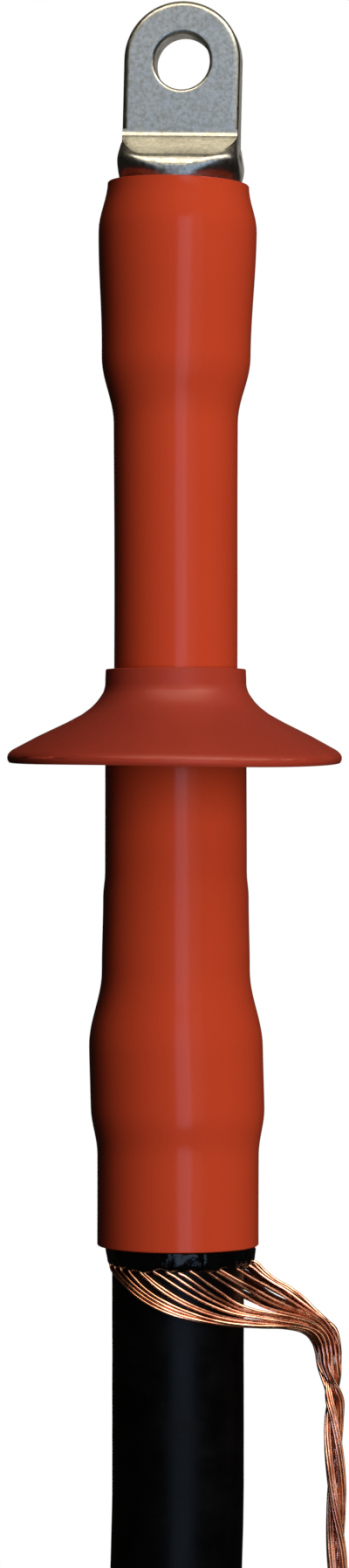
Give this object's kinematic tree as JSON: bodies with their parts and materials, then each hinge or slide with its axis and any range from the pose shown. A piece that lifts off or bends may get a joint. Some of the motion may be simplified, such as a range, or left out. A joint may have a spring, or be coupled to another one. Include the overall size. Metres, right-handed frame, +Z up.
{
  "type": "cable termination",
  "caption": "Heat-shrink termination on a single-core medium-voltage cable: bolted lug, red tube with a rain skirt, sealing mastic and screen wires gathered into an earth lead.",
  "frame": {"origin": "centre of the lug's palm hole, half-way through the palm", "axes": "+Z up along the cable towards the lug's end, -Y out of the palm face that the picture shows, +X towards the earth lead"},
  "size_m": [0.1119, 0.1052, 0.577],
  "materials": {
    "tinned_lug": "matt grained tin",
    "bolt_brass": "sheared",
    "mastic": "glossy, lumpy",
    "conductor_metal": "drawn, cut end bright",
    "semicon": "matt",
    "xlpe": "waxy, translucent",
    "yellow_filler": "soft mastic",
    "stress_grading": "matt",
    "red_tube": "satin",
    "red_skirt": "matt",
    "swelling_tape": "felted",
    "copper": "bright drawn copper",
    "white_tape": "matt",
    "black_sheath": "satin",
    "tinned_copper": "tinned"
  },
  "bodies": {
    "root": {"cable_lug": "tinned_lug", "shear_bolts": "bolt_brass", "lug_mastic": "mastic", "conductor": "conductor_metal", "conductor_screen": "semicon", "insulation": "xlpe", "insulation_screen": "semicon", "void_filler": "yellow_filler", "stress_control_tube": "stress_grading", "anti_tracking_tube": "red_tube", "skirt_mastic": "mastic", "rain_skirt": "red_skirt", "bedding_tape": "swelling_tape", "screen_wires": "copper", "separator_tape": "white_tape", "outer_sheath": "black_sheath", "inner_seal_mastic": "mastic", "outer_seal_mastic": "mastic", "earth_lead": "copper", "earth_lug": "tinned_copper"}
  },
  "joints": []
}
